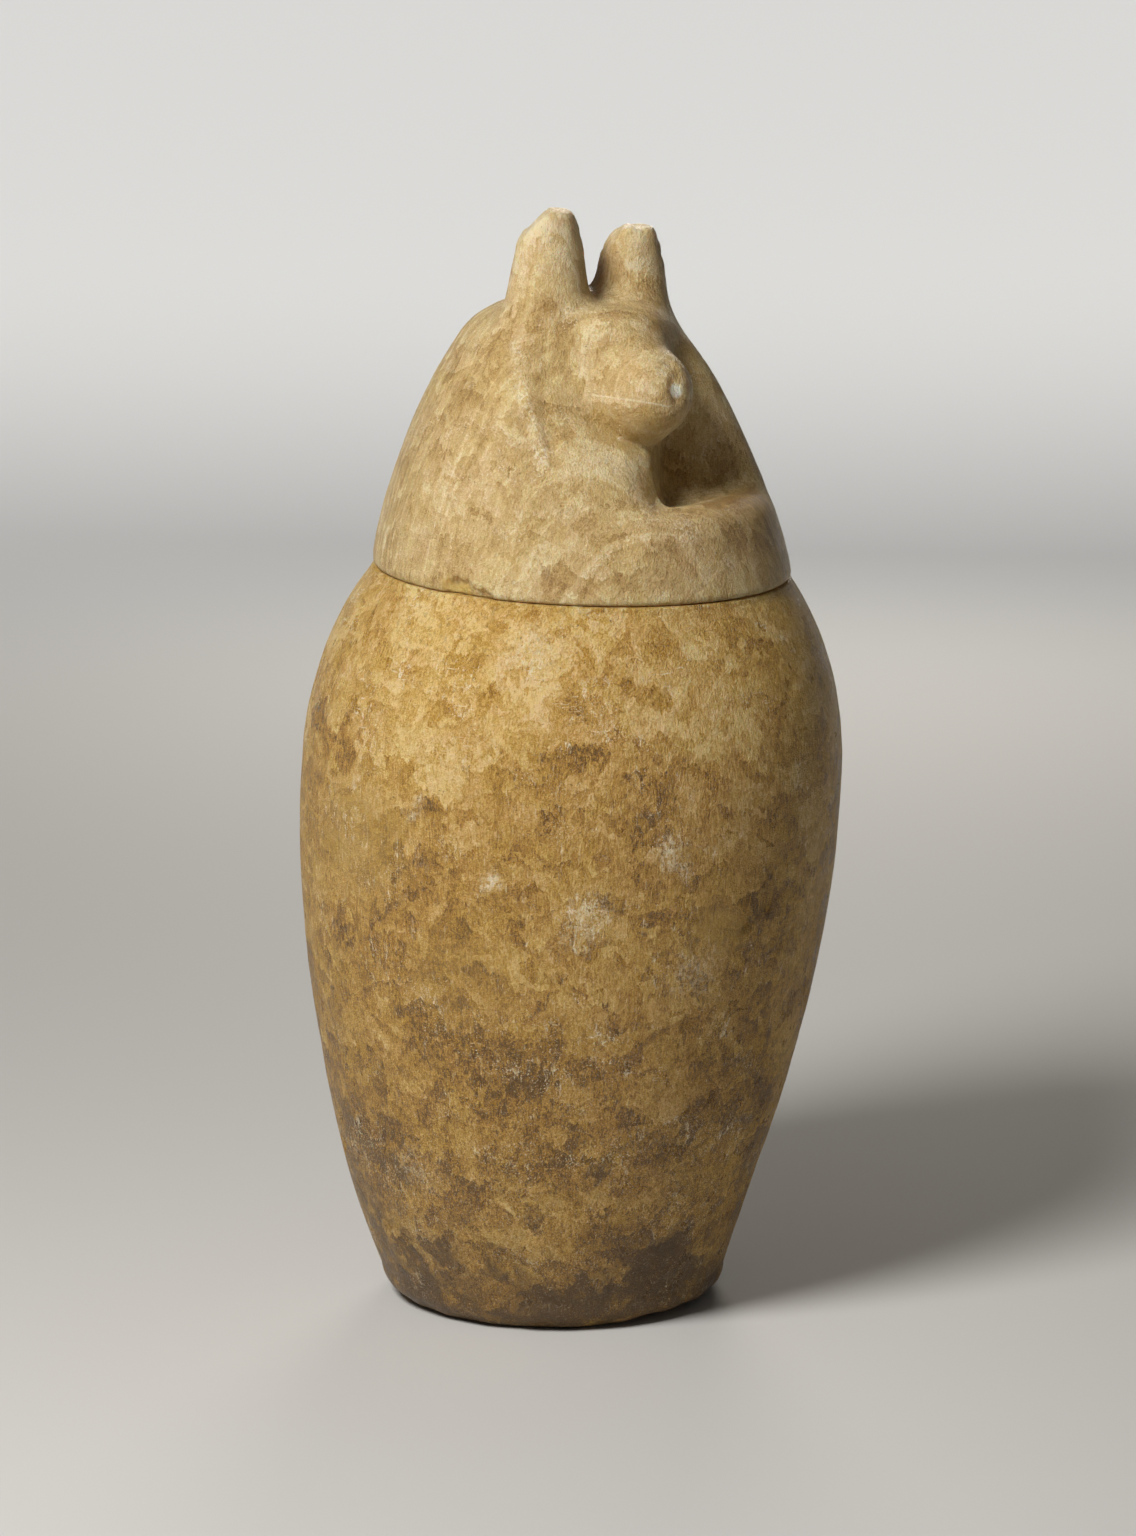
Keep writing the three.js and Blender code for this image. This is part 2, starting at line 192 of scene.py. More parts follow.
def makeJar():
    outside, inside = jarProfile()
    outsideRows = len(outside)
    points, faces, fans = turned(np.concatenate([outside, inside]), jar["columns"])
    skinCount = 1 + outsideRows * jar["columns"]
    points = leaning(chipped(points))
    normals = pointNormals(points, faces, fans)
    p = points[:skinCount]
    # hand-worked unevenness, the worn foot, and shallow pits, all fading out at the underside and under the lid
    move = 0.45 * uneven(p, 46) + 0.22 * uneven(p, 17, 5.3) + 0.1 * uneven(p, 6, 9.1)
    worn = np.clip(1 - p[:, 2] / 16, 0, 1)
    move -= worn * np.clip(0.5 + uneven(p, 9, 2.2), 0, 1) * 1.1
    pits = np.clip(uneven(p, 5.5, 20.0) * uneven(p, 31, 12.0) - 0.3, 0, 1)
    move -= 3.2 * pits
    fade = np.clip(p[:, 2] / 2.5, 0, 1) * np.clip((268 - p[:, 2]) / 3, 0, 1)
    points[:skinCount] += normals[:skinCount] * (move * fade)[:, None]
    return meshObject("jarBody", points, faces, fans)


lid = {
    "radius": 76.4,
    "seatGap": 0.06,
    "tenonRadius": 50.5,
    "tenonHeight": 16.0,
    "bellHeight": 110.0,
    "bellCurve": 1.28,
    "bellSetback": 0.11,
    "crownHeight": 100.0,
    "crownRound": 16.0,
    "wigEdge": 2.2,
    "bandUp": 34.0,
    "floorDip": -0.27,  # slope of the recess's floor inwards, to the jackal's left
    "floorRamp": (0.6, 0.02, 20.0),  # and to its right, steeper and steeper beyond a way out
    "floorTurn": (-5.5, 7.0, 0.75),  # where one turns into the other: side, half width, lag with the way ahead
    "wallRight": (42.8, 0.0, 0.6),  # the recess's back wall: way ahead at its foot, flare outwards, lean
    "wallLeft": (26.5, 0.3, 0.1),
    "wallTurn": (2.0, 5.0),
    "wallHalf": 14.0,
    "recessRound": 11.0,
    "recessEdge": (16.0, 12.0),  # softness of its edge to the right and to the left
    "headAhead": 9.0,
    "headRadius": 23.4,
    "headUp": (55.0, 99.0, 16.0),  # its lower and upper end, and how round they are
    "muzzle": (8.0, 68.5, 18.0),
    "nose": (34.5, 69.5, 16.3),
    "throatTop": (22.5, 65.5, 11.6),
    "throatFoot": (22.5, 24.0, 12.2),
    # rough stone left standing beside the throat: middle, half size
    "rawMass": ((-20.0, 22.0, 34.0), (24.0, 24.0, 20.0)),
    "rawSide": -8.7,
    "rawTop": (30.0, 44.0, 9.5),
    "rawFoot": (34.8, 24.0, 11.5),
    "headBlend": 9.0,
    "relief": (-2.2, -1.7, 2.2),  # groove cut round the muzzle before it: aside, down, wider
    "reliefRound": 5.0,
    "throatBlend": 9.0,
    "earSide": 18.6,
    "earAhead": -1.2,
    "earRootUp": 88.0,
    "earTipUp": 136.0,
    "earRootHalf": (17.8, 17.0),
    "earTipHalf": (9.7, 7.7),
    "earBlend": 6.0,
    # share of that size, then each broken face's height and slopes
    "earRight": (1.0, ((132.0, -0.03, 0.0), (133.4, 0.81, 0.61), (145.4, -1.57, -1.18))),
    "earLeft": (0.9, ((124.6, -0.05, 0.0), (127.6, 0.69, 0.52), (142.4, -1.86, -1.4), (141.2, 2.1, 1.0))),
    "breakRound": 2.0,
    "breakRough": 0.6,
    "chipSide": 73.0,
    "chipHalf": (4.0, 7.0, 6.0),  # inwards, along the edge, up
    "chipBend": 2.6,
    "lipSide": 67.5,
    "lipHalf": (3.4, 8.5, 3.4),
    # scars in the surface, from one point to another: side, ahead, up of both, half width, depth
    "scars": (
        ((-34.9, 15.2, 75.3), (-38.2, 30.0, 53.5), 3.0, 0.6),
        ((-38.2, 30.0, 53.5), (-40.3, 35.3, 46.5), 2.4, 0.4),
        ((-31.6, 7.1, 100.2), (-29.8, 13.0, 89.0), 1.8, 0.6),
        ((-29.8, 13.0, 84.0), (-31.5, 17.3, 74.3), 2.4, 0.35),
        ((-38.1, 5.8, 85.0), (-41.2, 18.2, 67.1), 2.2, -0.45),
        ((-41.2, 18.2, 67.1), (-43.9, 33.6, 46.2), 3.0, -0.6),
        ((-45.5, 21.0, 62.0), (-44.9, 24.5, 55.0), 2.8, 0.5),
        ((-55.3, 23.0, 48.5), (-54.3, 26.2, 42.0), 3.0, 0.5),
        ((0.4, 50.6, 74.0), (1.6, 50.6, 70.5), 3.0, 1.3),
        ((1.0, 45.5, 81.5), (3.0, 49.0, 76.5), 3.2, 0.6),
    ),
    "cell": 1.1,
}


def blend(a, b, width):
    near = np.clip(width - np.abs(a - b), 0, None) / width
    return np.minimum(a, b) - near * near * width / 4


def cut(a, b, width):
    return -blend(-a, -b, width)


def lerp(low, high, share):
    return low + (high - low) * np.clip(share, 0, 1)


def bellRadius(z):
    return lid["radius"] * np.sqrt(1 - np.clip(z / lid["bellHeight"], 0, 0.985) ** lid["bellCurve"])


def bell(x, ahead, z):
    share = np.clip(z / lid["bellHeight"], 0, 0.985)
    radius = bellRadius(z)
    slope = lid["radius"] ** 2 * lid["bellCurve"] * share ** (lid["bellCurve"] - 1) / (2 * lid["bellHeight"] * radius)
    side = (np.hypot(x, ahead + lid["bellSetback"] * z) - radius) / np.hypot(1, slope)
    return cut(side, z - lid["crownHeight"], lid["crownRound"])


def recess(x, ahead, z):
    walls = []
    for key, turn in (("wallRight", -1), ("wallLeft", 1)):
        foot, flare, lean = lid[key]
        walls.append(foot + flare * np.clip(turn * x - lid["wallHalf"], 0, None) - lean * (z - lid["bandUp"]))
    middle, half = lid["wallTurn"]
    wall = lerp(*walls, (x - middle) / (2 * half) + 0.5) - ahead
    side, half, lag = lid["floorTurn"]
    ramp, steepening, out = lid["floorRamp"]
    ramp = ramp + steepening * np.clip(-x - out, 0, None)
    slope = lerp(ramp, lid["floorDip"], (x - side + lag * (ahead - 40)) / (2 * half) + 0.5)
    inward = bellRadius(lid["bandUp"]) - np.hypot(x, ahead + lid["bellSetback"] * lid["bandUp"])
    floor = lid["bandUp"] + slope * inward - z
    return cut(wall, floor / np.hypot(1, slope), lid["recessRound"])


def roundCone(x, ahead, z, start, end):
    along = np.array([end[0] - start[0], end[1] - start[1]])
    length = float(np.linalg.norm(along))
    along = along / length
    drop = (start[2] - end[2]) / length
    rise = math.sqrt(1 - drop * drop)
    dAhead, dUp = ahead - start[0], z - start[1]
    run = dAhead * along[0] + dUp * along[1]
    off = np.hypot(x, dUp * along[0] - dAhead * along[1])
    place = run * rise - off * drop
    middle = off * rise + run * drop - start[2]
    beyond = np.where(place > length * rise, np.hypot(run - length, off) - end[2], middle)
    return np.where(place < 0, np.hypot(run, off) - start[2], beyond)


def head(x, ahead, z):
    low, high, bend = lid["headUp"]
    return cut(cut(np.hypot(x, ahead - lid["headAhead"]) - lid["headRadius"], z - high, bend), low - z, bend)


def earBreak(x, ahead, z, side, faces):
    # how far a point is above the broken faces of an ear
    across, forward = x - side * lid["earSide"], ahead - lid["earAhead"]
    return [(z - up - slopeSide * across - slopeAhead * forward) / math.hypot(1, slopeSide, slopeAhead)
            for up, slopeSide, slopeAhead in faces]


def ear(x, ahead, z, side, broken):
    size, faces = broken
    rise = (z - lid["earRootUp"]) / (lid["earTipUp"] - lid["earRootUp"])
    halfWidth = lerp(lid["earRootHalf"][0], lid["earTipHalf"][0], rise) * size
    halfDepth = lerp(lid["earRootHalf"][1], lid["earTipHalf"][1], rise) * size
    across, forward = x - side * lid["earSide"], ahead - lid["earAhead"]
    shell = (np.hypot(across / halfWidth, forward / halfDepth) - 1) * np.minimum(halfWidth, halfDepth)
    for top in earBreak(x, ahead, z, side, faces):
        shell = cut(shell, top, lid["breakRound"])
    return np.maximum(shell, lid["earRootUp"] - 12 - z)


def chipOut(x, ahead, z, turn, half):
    # a blunt scoop at the lid's lower edge
    out = ahead * math.cos(turn) - x * math.sin(turn) - lid["radius"]
    along = x * math.cos(turn) + ahead * math.sin(turn)
    deep, wide, tall = half
    ragged = 0.5 * np.sin(along * 1.3) + 0.3 * np.sin(along * 3.1 + 1)
    bend = lid["chipBend"]
    reach = np.abs(out / deep) ** bend + np.abs(along / wide) ** bend + np.abs((z + ragged) / tall) ** bend
    return (reach ** (1 / bend) - 1) * deep


def underside(x, ahead, z):
    # flat underneath with a rounded edge, and the tenon below
    edge = lid["wigEdge"]
    reach = np.hypot(x, ahead)
    trim = cut(reach - lid["radius"] + 0.35, -z, edge * 1.17)
    trim = np.where(z > edge * 2, -z, trim)
    tenon = cut(cut(reach - lid["tenonRadius"], -z - lid["tenonHeight"], 3), z - 4, 1)
    return trim, tenon


def lidDistance(x, y, z):
    ahead = -y
    edge = lerp(*lid["recessEdge"], x / 20 + 0.5)
    stone = cut(bell(x, ahead, z), -recess(x, ahead, z), edge)
    stone = blend(stone, roundCone(x, ahead, z, lid["throatTop"], lid["throatFoot"]), lid["throatBlend"])
    stone = blend(stone, roundCone(x - lid["rawSide"], ahead, z, lid["rawTop"], lid["rawFoot"]), lid["throatBlend"])
    middle, half = lid["rawMass"]
    mass = (np.sqrt(sum(((v - m) / h) ** 2 for v, m, h in zip((x, ahead, z), middle, half))) - 1) * min(half)
    stone = blend(stone, mass, lid["throatBlend"])
    aside, down, wider = lid["relief"]
    stone = cut(stone, wider - roundCone(x - aside, ahead, z - down, lid["muzzle"], lid["nose"]), lid["reliefRound"])
    stone = blend(stone, head(x, ahead, z), lid["headBlend"])
    stone = blend(stone, roundCone(x, ahead, z, lid["muzzle"], lid["nose"]), lid["headBlend"])
    stone = blend(stone, ear(x, ahead, z, -1, lid["earRight"]), lid["earBlend"])
    stone = blend(stone, ear(x, ahead, z, 1, lid["earLeft"]), lid["earBlend"])
    for chip in ("chip", "lip"):
        stone = cut(stone, -chipOut(x, ahead, z, math.radians(lid[chip + "Side"]), lid[chip + "Half"]), 1.0)
    trim, tenon = underside(x, ahead, z)
    return blend(np.maximum(stone, trim), tenon, 1)


def skin(distance, low, high, cell):
    # a closed surface round where the distance is negative: a point in every cell that the surface crosses
    axes = [np.arange(a, b + cell, cell) for a, b in zip(low, high)]
    value = distance(*np.meshgrid(*axes, indexing="ij", sparse=True))
    size = np.array(value.shape)
    inner = value < 0
    total = np.zeros((*(size - 1), 3), np.float32)
    crossings = np.zeros(size - 1, np.float32)
    quads = []
    cellAt = np.full(size - 1, -1, np.int64)
    edges = []
    for axis in range(3):
        near = [slice(None)] * 3
        far = [slice(None)] * 3
        near[axis], far[axis] = slice(0, -1), slice(1, None)
        a, b = value[tuple(near)], value[tuple(far)]
        where = np.argwhere((a < 0) != (b < 0))
        va, vb = a[tuple(where.T)], b[tuple(where.T)]
        place = where.astype(np.float64)
        place[:, axis] += va / (va - vb)
        u, v = (axis + 1) % 3, (axis + 2) % 3
        for du in (0, 1):
            for dv in (0, 1):
                at = where.copy()
                at[:, u] -= du
                at[:, v] -= dv
                fits = np.all((at >= 0) & (at < size - 1), axis=1)
                index = tuple(at[fits].T)
                for d in range(3):
                    np.add.at(total[..., d], index, place[fits, d])
                np.add.at(crossings, index, 1)
        edges.append((axis, u, v, where, va < 0))
    used = np.argwhere(crossings > 0)
    cellAt[tuple(used.T)] = np.arange(len(used))
    points = total[tuple(used.T)] / crossings[tuple(used.T)][:, None] * cell + np.array([a[0] for a in axes])
    for axis, u, v, where, inward in edges:
        ring = []
        for du, dv in ((1, 1), (0, 1), (0, 0), (1, 0)):
            at = where.copy()
            at[:, u] -= du
            at[:, v] -= dv
            ring.append(cellAt[tuple(at.T)])
        ring = np.stack(ring, 1)
        quads.append(np.where(inward[:, None], ring, ring[:, ::-1]))
    return points.astype(np.float64), np.concatenate(quads)


def slopeOf(points, distance, step=0.05):
    here = distance(*points.T)
    return here, np.stack([distance(*(points + step * axis).T) - here for axis in np.eye(3)], 1) / step


def alongLine(points, start, end):
    # distance of each point from the stretch between two others
    start, way = np.array(start), np.array(end) - np.array(start)
    share = np.clip((points - start) @ way / (way @ way), 0, 1)
    return np.linalg.norm(points - start - share[:, None] * way, axis=1)


def makeLid():
    reach = lid["radius"] + 4
    low, high = (-reach, -reach, -lid["tenonHeight"] - 3), (reach, reach, lid["earTipUp"] + 3)
    points, faces = skin(lidDistance, low, high, lid["cell"])
    for _ in range(3):
        here, slope = slopeOf(points, lidDistance)
        steep = np.maximum(np.sum(slope * slope, 1), 0.3)
        points -= slope * np.clip(here / steep, -0.4, 0.4)[:, None]
    here, slope = slopeOf(points, lidDistance)
    normals = slope / np.maximum(np.linalg.norm(slope, axis=1, keepdims=True), 1e-6)
    move = 0.4 * uneven(points, 38, 3.0) + 0.25 * uneven(points, 14, 7.7) + 0.12 * uneven(points, 5, 1.1)
    fade = np.clip((points[:, 2] - 1) / 4, 0, 1)
    x, ahead, z = points[:, 0], -points[:, 1], points[:, 2]
    for side, key in ((-1, "earRight"), (1, "earLeft")):
        top = np.max(earBreak(x, ahead, z, side, lid[key][1]), 0)
        broken = np.clip(1.4 - np.abs(top) / 2.2, 0, 1) * (side * x > 0) * (z > lid["earRootUp"] + 15)
        move += broken * lid["breakRough"] * (uneven(points, 4.2, 2.0) + 0.6 * uneven(points, 2.2, 6.0))
    lidFrame = points * (1, -1, 1)
    for start, end, half, depth in lid["scars"]:
        near = alongLine(lidFrame, start, end) * (1 + 0.5 * uneven(points, 4.0, 8.0))
        move -= depth * np.clip(1.3 - near / half, 0, 1) * (1 + 0.5 * uneven(points, 2.5, 4.0))
    points += normals * (move * fade)[:, None]
    print("lid: points", len(points), "faces", len(faces))
    # on to its seat on the leaning jar
    side = sideways(jar["leanSide"])
    slope = math.radians(jar["rimSlope"])
    out = points @ side
    turnedOut = side * math.cos(slope) - np.array([0, 0, math.sin(slope)])
    turnedUp = side * math.sin(slope) + np.array([0, 0, math.cos(slope)])
    across = points - out[:, None] * side
    across[:, 2] = 0
    up = (points[:, 2] + lid["seatGap"])[:, None]
    seat = leaning(np.array([[0, 0, jar["height"]]]))
    points = across + out[:, None] * turnedOut + up * turnedUp + seat
    return meshObject("jackalLid", points, faces, np.zeros((0, 3), int))


# stone

class Socket:  # a material's socket, so that shader maths reads like arithmetic
    def __init__(self, stone, socket):
        self.stone, self.socket = stone, socket

    def math(self, operation, *others):
        return self.stone.maths(operation, self, *others)

    def __add__(self, other):
        return self.math("ADD", other)

    def __radd__(self, other):
        return self.stone.maths("ADD", other, self)

    def __sub__(self, other):
        return self.math("SUBTRACT", other)

    def __rsub__(self, other):
        return self.stone.maths("SUBTRACT", other, self)

    def __mul__(self, other):
        return self.math("MULTIPLY", other)

    def __rmul__(self, other):
        return self.stone.maths("MULTIPLY", other, self)

    def other(self, output):
        # another output of the same node
        return Socket(self.stone, self.socket.node.outputs[output])

    def between(self, low, high, start=0.0, end=1.0):  # 0 below low, 1 above high
        settings = {"clamp": True, "interpolation_type": "SMOOTHSTEP"}
        return self.stone.add("ShaderNodeMapRange", settings, {"Value": self, 1: low, 2: high, 3: start, 4: end})


class Stone:
    def __init__(self, name):
        self.material = bpy.data.materials.new(name)
        self.material.use_nodes = True
        self.tree = self.material.node_tree
        self.shader = self.tree.nodes["Principled BSDF"]
        self.place = self.add("ShaderNodeTexCoord", {}, {}, "Object")

    def add(self, kind, settings, inputs, output=0):
        node = self.tree.nodes.new(kind)
        for key, value in settings.items():
            if key == "stops":
                ramp = node.color_ramp
                while len(ramp.elements) < len(value):
                    ramp.elements.new(0.5)
                for element, (position, colour) in zip(ramp.elements, value):
                    element.position = position
                    element.color = (*colour, 1)
            else:
                setattr(node, key, value)
        for key, value in inputs.items():
            self.feed(node.inputs[key], value)
        return Socket(self, node.outputs[output])

    def feed(self, target, value):
        if isinstance(value, Socket):
            self.tree.links.new(value.socket, target)
        else:
            target.default_value = value

    def maths(self, operation, *values):
        return self.add("ShaderNodeMath", {"operation": operation}, dict(enumerate(values)))

    def mix(self, share, first, second, how="MIX"):
        inputs = {0: share, 6: first, 7: second}
        for key in (6, 7):
            if isinstance(inputs[key], tuple):
                inputs[key] = (*inputs[key][:3], 1)
        return self.add("ShaderNodeMix", {"data_type": "RGBA", "blend_type": how}, inputs, 2)

    def vector(self, operation, first, second):
        output = 1 if operation in ("DOT_PRODUCT", "DISTANCE") else 0
        return self.add("ShaderNodeVectorMath", {"operation": operation}, {0: first, 1: second}, output)

    def noise(self, place, scale, detail=3.0, roughness=0.55, output=0):
        inputs = {"Vector": place, "Scale": scale, "Detail": detail, "Roughness": roughness}
        return self.add("ShaderNodeTexNoise", {}, inputs, output)

    def cells(self, place, scale, output="Color", feature="F1", randomness=1.0):
        inputs = {"Vector": place, "Scale": scale, "Randomness": randomness}
        return self.add("ShaderNodeTexVoronoi", {"feature": feature}, inputs, output)

    def spot(self, place, middle, radius, soft=0.6):  # 1 inside a patch round a point, 0 outside
        away = self.vector("DISTANCE", place, tuple(v / 1000 for v in middle))
        return away.between(radius / 1000 * (1 - soft), radius / 1000, 1.0, 0.0)

    def stroke(self, place, start, end, radius, soft=0.6):  # the same along a line
        start, end = Vector(start) / 1000, Vector(end) / 1000
        way = end - start
        off = self.vector("SUBTRACT", place, start)
        share = self.add("ShaderNodeClamp", {}, {0: self.vector("DOT_PRODUCT", off, way / way.length_squared)})
        nearest = self.add("ShaderNodeVectorMath", {"operation": "SCALE"}, {0: way, 3: share})
        away = self.vector("DISTANCE", off, nearest)
        return away.between(radius / 1000 * (1 - soft), radius / 1000, 1.0, 0.0)


travertine = {
    "jarTones": (
        (0.17, 0.09, 0.023), (0.43, 0.230, 0.040), (0.57, 0.336, 0.070), (0.70, 0.46, 0.150), (0.86, 0.65, 0.32),
    ),
    "lidTones": (
        (0.35, 0.205, 0.072), (0.52, 0.338, 0.132), (0.645, 0.455, 0.21), (0.76, 0.58, 0.31), (0.90, 0.765, 0.51),
    ),
    "pinkish": (1.01, 0.98, 1.0),  # the crystals' tints, as factors
    "olive": (1.0, 0.99, 0.86),
    "golden": (0.52, 0.325, 0.075),
    # painted glow: the colour of light shining through the thin stone at the chipped lower edge
    "paintedGlow": (0.80, 0.56, 0.17),
    "brown": (0.22, 0.13, 0.05),
    "soil": (0.12, 0.072, 0.03),
    "white": (0.94, 0.81, 0.56),
    # painted highlight: a pale colour for the glint on the nose
    "paintedGlint": (1.0, 0.93, 0.77),
    "roughness": 0.36,
    "glow": 0.4,  # share of light that passes through the skin of the stone
    "glowReach": (0.009, 0.005, 0.002),
}


def crystalField(stone):
    # interlocking ragged crystals: cells in a space that is bent by coarse and by upright fine noise
    tall = stone.vector("MULTIPLY", stone.place, (1.0, 1.0, 0.2))
    bent = stone.place
    bends = (
        (stone.place, 50, (0.02, 0.02, 0.02)),
        (stone.place, 210, (0.006, 0.006, 0.006)),
        (tall, 620, (0.0025, 0.0025, 0.006)),
    )
    for place, scale, amount in bends:
        wave = stone.vector("SUBTRACT", stone.noise(place, scale, 2, 0.6, 1), (0.5, 0.5, 0.5))
        bent = stone.vector("ADD", bent, stone.vector("MULTIPLY", wave, amount))
    return bent, tall


def shade(stone, bent, scale):
    # each crystal has its own tone and tint, and is darkest just under its upper edge
    cell = stone.cells(bent, scale)
    channels = stone.add("ShaderNodeSeparateColor", {}, {0: cell})
    offset = stone.vector("SUBTRACT", bent, cell.other("Position"))
    height = stone.add("ShaderNodeSeparateXYZ", {}, {0: offset}, 2)
    return channels - 0.5, height * scale, channels.other(1)


def finish(stone, colour, roughness, bumpHeight):
    shader = stone.shader
    stone.feed(shader.inputs["Base Color"], colour)
    stone.feed(shader.inputs["Roughness"], roughness)
    bump = stone.add("ShaderNodeBump", {}, {"Height": bumpHeight, "Strength": 1.0, "Distance": 0.0015})
    stone.feed(shader.inputs["Normal"], bump)
    shader.inputs["Subsurface Weight"].default_value = travertine["glow"]
    shader.inputs["Subsurface Radius"].default_value = travertine["glowReach"]
    shader.inputs["Subsurface Scale"].default_value = 1.0
    shader.inputs["IOR"].default_value = 1.5
    return stone.material


def marks(stone, places, share=0.75):
    # patches round single places and along lines: middle or (start, end), radius, strength
    total = 0.0
    for where, radius, strength in places:
        if isinstance(where[0], tuple):
            patch = stone.stroke(stone.ragged, where[0], where[1], radius, share)
        else:
            patch = stone.spot(stone.ragged, where, radius, share)
        total = patch * strength + total
    return total


jarMarks = {  # places on the jar in millimetres, with a radius and a strength
    "browner": (
        ((22.7, -99.0, 162.5), 27, 1.0), ((-57.0, -69.4, 107.2), 13, 1.2), ((-47.2, -65.3, 66.0), 11, 1.0),
        ((-82.6, 0.5, 76.8), 34, 1.2), ((46.3, -74.3, 265.3), 7, 0.8), ((-20.0, -60.0, 30.0), 24, 1.0),
        ((20.0, -85.0, 80.0), 50, 0.9), ((75.0, -60.0, 150.0), 45, 0.7), ((62.0, -62.0, 235.0), 34, 0.9),
        ((22.0, -93.0, 243.0), 32, 0.9), ((-70.0, -45.0, 110.0), 34, 0.4), ((40.0, -60.0, 40.0), 35, 1.0),
    ),
    "paler": (
        ((-53.2, -54.0, 48.4), 24, 1.3), ((-55.8, -61.0, 256.9), 26, 1.0), ((-20.3, -78.3, 268.0), 14, 1.0),
        ((-74.2, -56.1, 226.0), 22, 1.0), ((-60.0, -72.0, 150.0), 25, 0.5), ((-7.0, -95.8, 238.6), 22, 0.7),
    ),
    "whiter": (
        ((-88.6, -33.8, 198.8), 8, 1.2), ((-87.5, -38.2, 181.3), 6, 1.0), ((-74.4, -62.1, 174.8), 7, 1.0),
        ((-47.9, -85.7, 162.8), 15, 0.8), ((-20.3, -98.0, 185.0), 9, 1.0), ((-55.8, -61.0, 256.9), 16, 0.7),
        ((-10.0, -95.0, 140.0), 18, 0.6), ((-80.0, -20.0, 60.0), 16, 0.5),
    ),
    "golden": (((-95.0, -10.0, 185.0), 38, 0.5), ((-80.0, -50.0, 140.0), 30, 0.35), ((0.0, -100.0, 155.0), 18, 0.5)),
}


def jarStone():
    stone = Stone("honeyTravertine")
    bent, tall = crystalField(stone)
    stone.ragged = bent
    big, bigHeight, _ = shade(stone, bent, 36)
    mid, midHeight, midTint = shade(stone, bent, 84)
    small, smallHeight, smallTint = shade(stone, bent, 210)
    flakes = stone.add("ShaderNodeSeparateColor", {}, {0: stone.cells(bent, 620)}) - 0.5
    clouds = stone.noise(stone.place, 13, 3, 0.55) - 0.5
    fibres = stone.noise(tall, 1200, 2, 0.7) - 0.5
    grain = stone.noise(stone.place, 1900, 2, 0.75) - 0.5
    up = stone.add("ShaderNodeSeparateXYZ", {}, {0: stone.place}, 2)
    value = 0.485 + big * 0.11 + mid * 0.25 + small * 0.36 + flakes * 0.24
    value = value - bigHeight * 0.08 - midHeight * 0.11 - smallHeight * 0.06
    value = value + clouds * 0.25 + fibres * 0.85 + grain * 1.3
    # paler shoulder above a ragged border; below it the stone turns darker towards the foot and darkest in the last few
    # centimetres, partly its own browner tone and partly painted shade on the lower body, which is turned from the
    # light
    border = up + big * 0.03 + mid * 0.015 + clouds * 0.06
    value = value + border.between(0.200, 0.230) * 0.17 - border.between(0.215, 0.06) * 0.18
    value = value - border.between(0.035, 0.0) * 0.38
    worn = border.between(0.15, 0.04)  # rougher towards the foot
    value = value + worn * (grain * 0.5 + (stone.noise(stone.place, 380, 3, 0.7) - 0.5) * 0.7)
    value = value - marks(stone, jarMarks["browner"]) * 0.15 + marks(stone, jarMarks["paler"]) * 0.13
    colours = list(zip((0.0, 0.27, 0.5, 0.72, 1.0), travertine["jarTones"]))
    colour = stone.add("ShaderNodeValToRGB", {"stops": colours}, {0: value})
    tint = (midTint + smallTint + clouds * 2.0) * 0.5
    tint = stone.mix(tint.between(0.1, 0.9), travertine["pinkish"], travertine["olive"])
    colour = stone.mix(1.0, colour, tint, "MULTIPLY")
    colour = stone.mix(marks(stone, jarMarks["golden"]).between(0.0, 1.0), colour, travertine["golden"])
    # white crystal edges, streaks, scratches and specks; the fine specks are partly the stone's own white crystals and
    # partly painted sparkle, small highlights on the rough surface
    edges = stone.cells(bent, 84, 0, "DISTANCE_TO_EDGE").between(0.0, 0.05, 1.0, 0.0)
    edges = edges + stone.cells(bent, 210, 0, "DISTANCE_TO_EDGE").between(0.0, 0.06, 1.0, 0.0) * 0.7
    patchy = stone.noise(stone.place, 45, 3, 0.7).between(0.48, 0.66)
    broken = stone.noise(tall, 500, 2, 0.6).between(0.47, 0.60)
    hairs = stone.noise(stone.vector("MULTIPLY", stone.place, (1.0, 1.0, 0.07)), 1500, 2, 0.6).between(0.60, 0.70)
    scratches = stone.noise(stone.vector("MULTIPLY", stone.place, (0.1, 0.1, 1.0)), 1500, 1, 0.5).between(0.66, 0.72)
    specks = stone.noise(stone.place, 1500, 2, 0.7).between(0.58, 0.68)
    crumbs = stone.noise(stone.place, 600, 3, 0.7).between(0.44, 0.56)
    whiter = marks(stone, jarMarks["whiter"], 0.9) * (crumbs * 0.7 + 0.2)
    white = edges * broken * (patchy * 0.5 + 0.12) + specks * (patchy * 0.5 + worn * 0.25 + 0.25)
    white = white + hairs * (broken * 0.35 + 0.08)
    white = white + scratches * (border.between(0.17, 0.24) + worn * 0.5) * patchy * 0.7 + whiter * 0.75
    colour = stone.mix(white.between(0.0, 1.0), colour, travertine["white"])
    pits = stone.noise(stone.place, 650, 1, 0.5).between(0.72, 0.77)
    pits = pits + border.between(0.255, 0.27) * stone.noise(stone.place, 500, 2, 0.6).between(0.55, 0.64) * 0.6
    colour = stone.mix((pits * 0.6).between(0.0, 1.0), colour, travertine["brown"])
    soiled = border.between(0.06, 0.01) * (stone.noise(stone.place, 120, 3, 0.65).between(0.35, 0.6) * 0.5 + 0.2)
    colour = stone.mix(soiled, colour, travertine["soil"])
    rough = travertine["roughness"] + small * 0.2 + white * 0.2
    height = fibres * 0.5 + grain * 0.6 + stone.noise(stone.place, 330, 3, 0.65) * 0.9
    return finish(stone, colour, rough, height)


